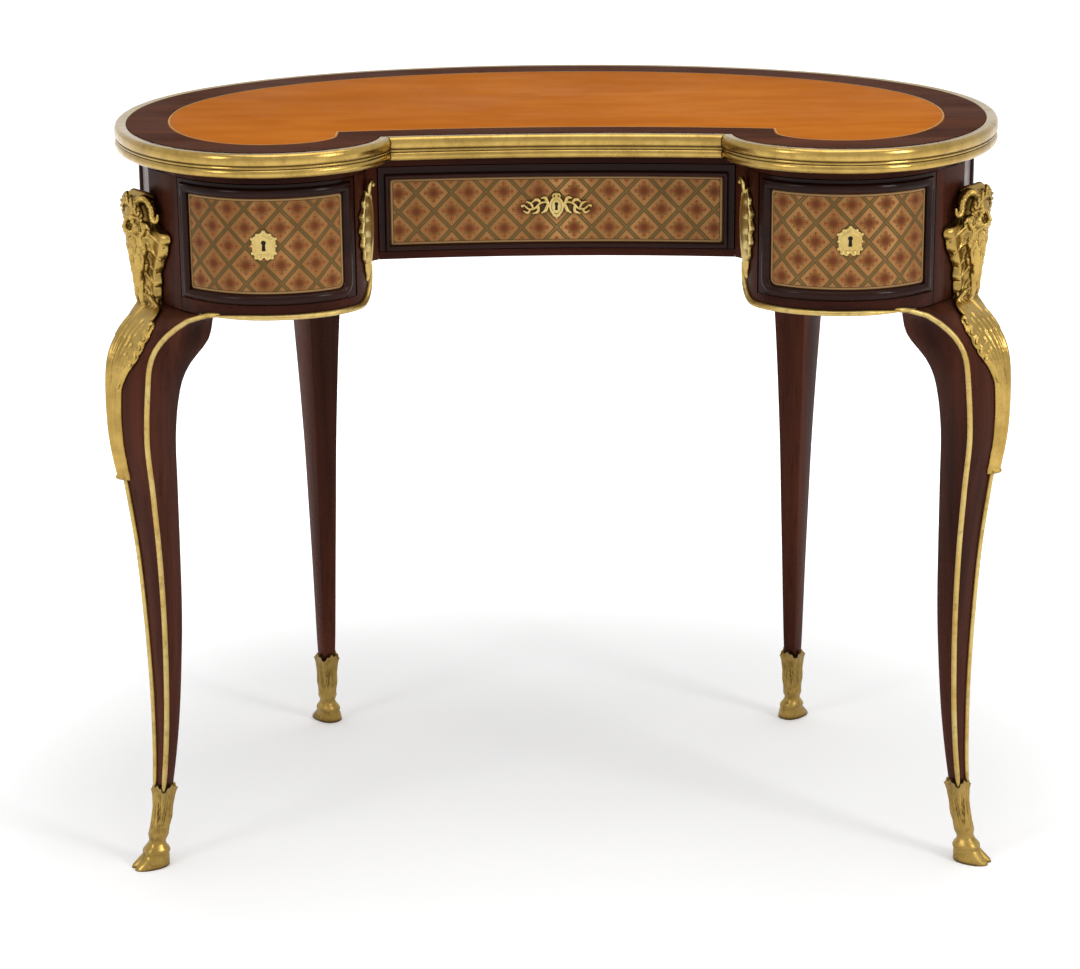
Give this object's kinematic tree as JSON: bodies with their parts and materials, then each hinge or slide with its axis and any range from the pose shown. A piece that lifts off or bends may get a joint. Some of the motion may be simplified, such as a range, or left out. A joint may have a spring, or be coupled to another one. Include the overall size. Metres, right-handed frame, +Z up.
{
  "type": "kidney-shaped writing desk",
  "caption": "Kidney-shaped writing desk: leather top in a moulded brass rim, drawers in a curved front, cabriole legs with horned mask mounts and hoof-shaped brass shoes.",
  "frame": {"origin": "on the floor, under the middle of the bounding box of the top", "axes": "+X to the right of the sitter, along the longest side; +Y away from the sitter; +Z up"},
  "size_m": [0.9, 0.565, 0.76],
  "materials": {
    "mahogany": "polished, dark red-brown",
    "parquetry": "polished lattice veneer with flowers",
    "oak": "planed and waxed",
    "leather": "tan, smooth, gilt line at the edge",
    "gilt_bronze": "cast and chased, gilt",
    "steel": "filed"
  },
  "bodies": {
    "frame": {"back_apron": "mahogany", "drawer_board_centre": "oak", "drawer_board_left": "oak", "drawer_board_right": "oak", "front_strip_left": "gilt_bronze", "front_strip_right": "gilt_bronze", "inner_post_left": "mahogany", "inner_post_right": "mahogany", "leaf_mount_left": "gilt_bronze", "leaf_mount_right": "gilt_bronze", "leather_inset": "leather", "leg_back_left": "mahogany", "leg_back_right": "mahogany", "leg_front_left": "mahogany", "leg_front_right": "mahogany", "lobe_moulding_left": "gilt_bronze", "lobe_moulding_right": "gilt_bronze", "lower_rail_left": "mahogany", "lower_rail_right": "mahogany", "mask_mount_left": "gilt_bronze", "mask_mount_right": "gilt_bronze", "outer_strip_left": "gilt_bronze", "outer_strip_right": "gilt_bronze", "partition_left": "mahogany", "partition_right": "mahogany", "rim_back": "gilt_bronze", "rim_centre": "gilt_bronze", "rim_left": "gilt_bronze", "rim_right": "gilt_bronze", "sabot_back_left": "gilt_bronze", "sabot_back_right": "gilt_bronze", "sabot_front_left": "gilt_bronze", "sabot_front_right": "gilt_bronze", "side_apron_left": "mahogany", "side_apron_right": "mahogany", "top_board": "mahogany", "under_top": "mahogany"},
    "drawer_left": {"drawer_left_back": "oak", "drawer_left_bottom": "oak", "drawer_left_escutcheon": "gilt_bronze", "drawer_left_front": "parquetry", "drawer_left_inner_side": "oak", "drawer_left_lock": "steel", "drawer_left_outer_side": "oak"},
    "drawer_right": {"drawer_right_back": "oak", "drawer_right_bottom": "oak", "drawer_right_escutcheon": "gilt_bronze", "drawer_right_front": "parquetry", "drawer_right_inner_side": "oak", "drawer_right_lock": "steel", "drawer_right_outer_side": "oak"},
    "drawer_centre": {"drawer_centre_back": "oak", "drawer_centre_bottom": "oak", "drawer_centre_escutcheon": "gilt_bronze", "drawer_centre_front": "parquetry", "drawer_centre_left_side": "oak", "drawer_centre_lock": "steel", "drawer_centre_right_side": "oak"}
  },
  "joints": [
    {"name": "slide_left", "type": "slide", "parent": "frame", "child": "drawer_left", "axis": [0, -1, 0], "range_m": [0, 0.19]},
    {"name": "slide_right", "type": "slide", "parent": "frame", "child": "drawer_right", "axis": [0, -1, 0], "range_m": [0, 0.19]},
    {"name": "slide_centre", "type": "slide", "parent": "frame", "child": "drawer_centre", "axis": [0, -1, 0], "range_m": [0, 0.2]}
  ]
}
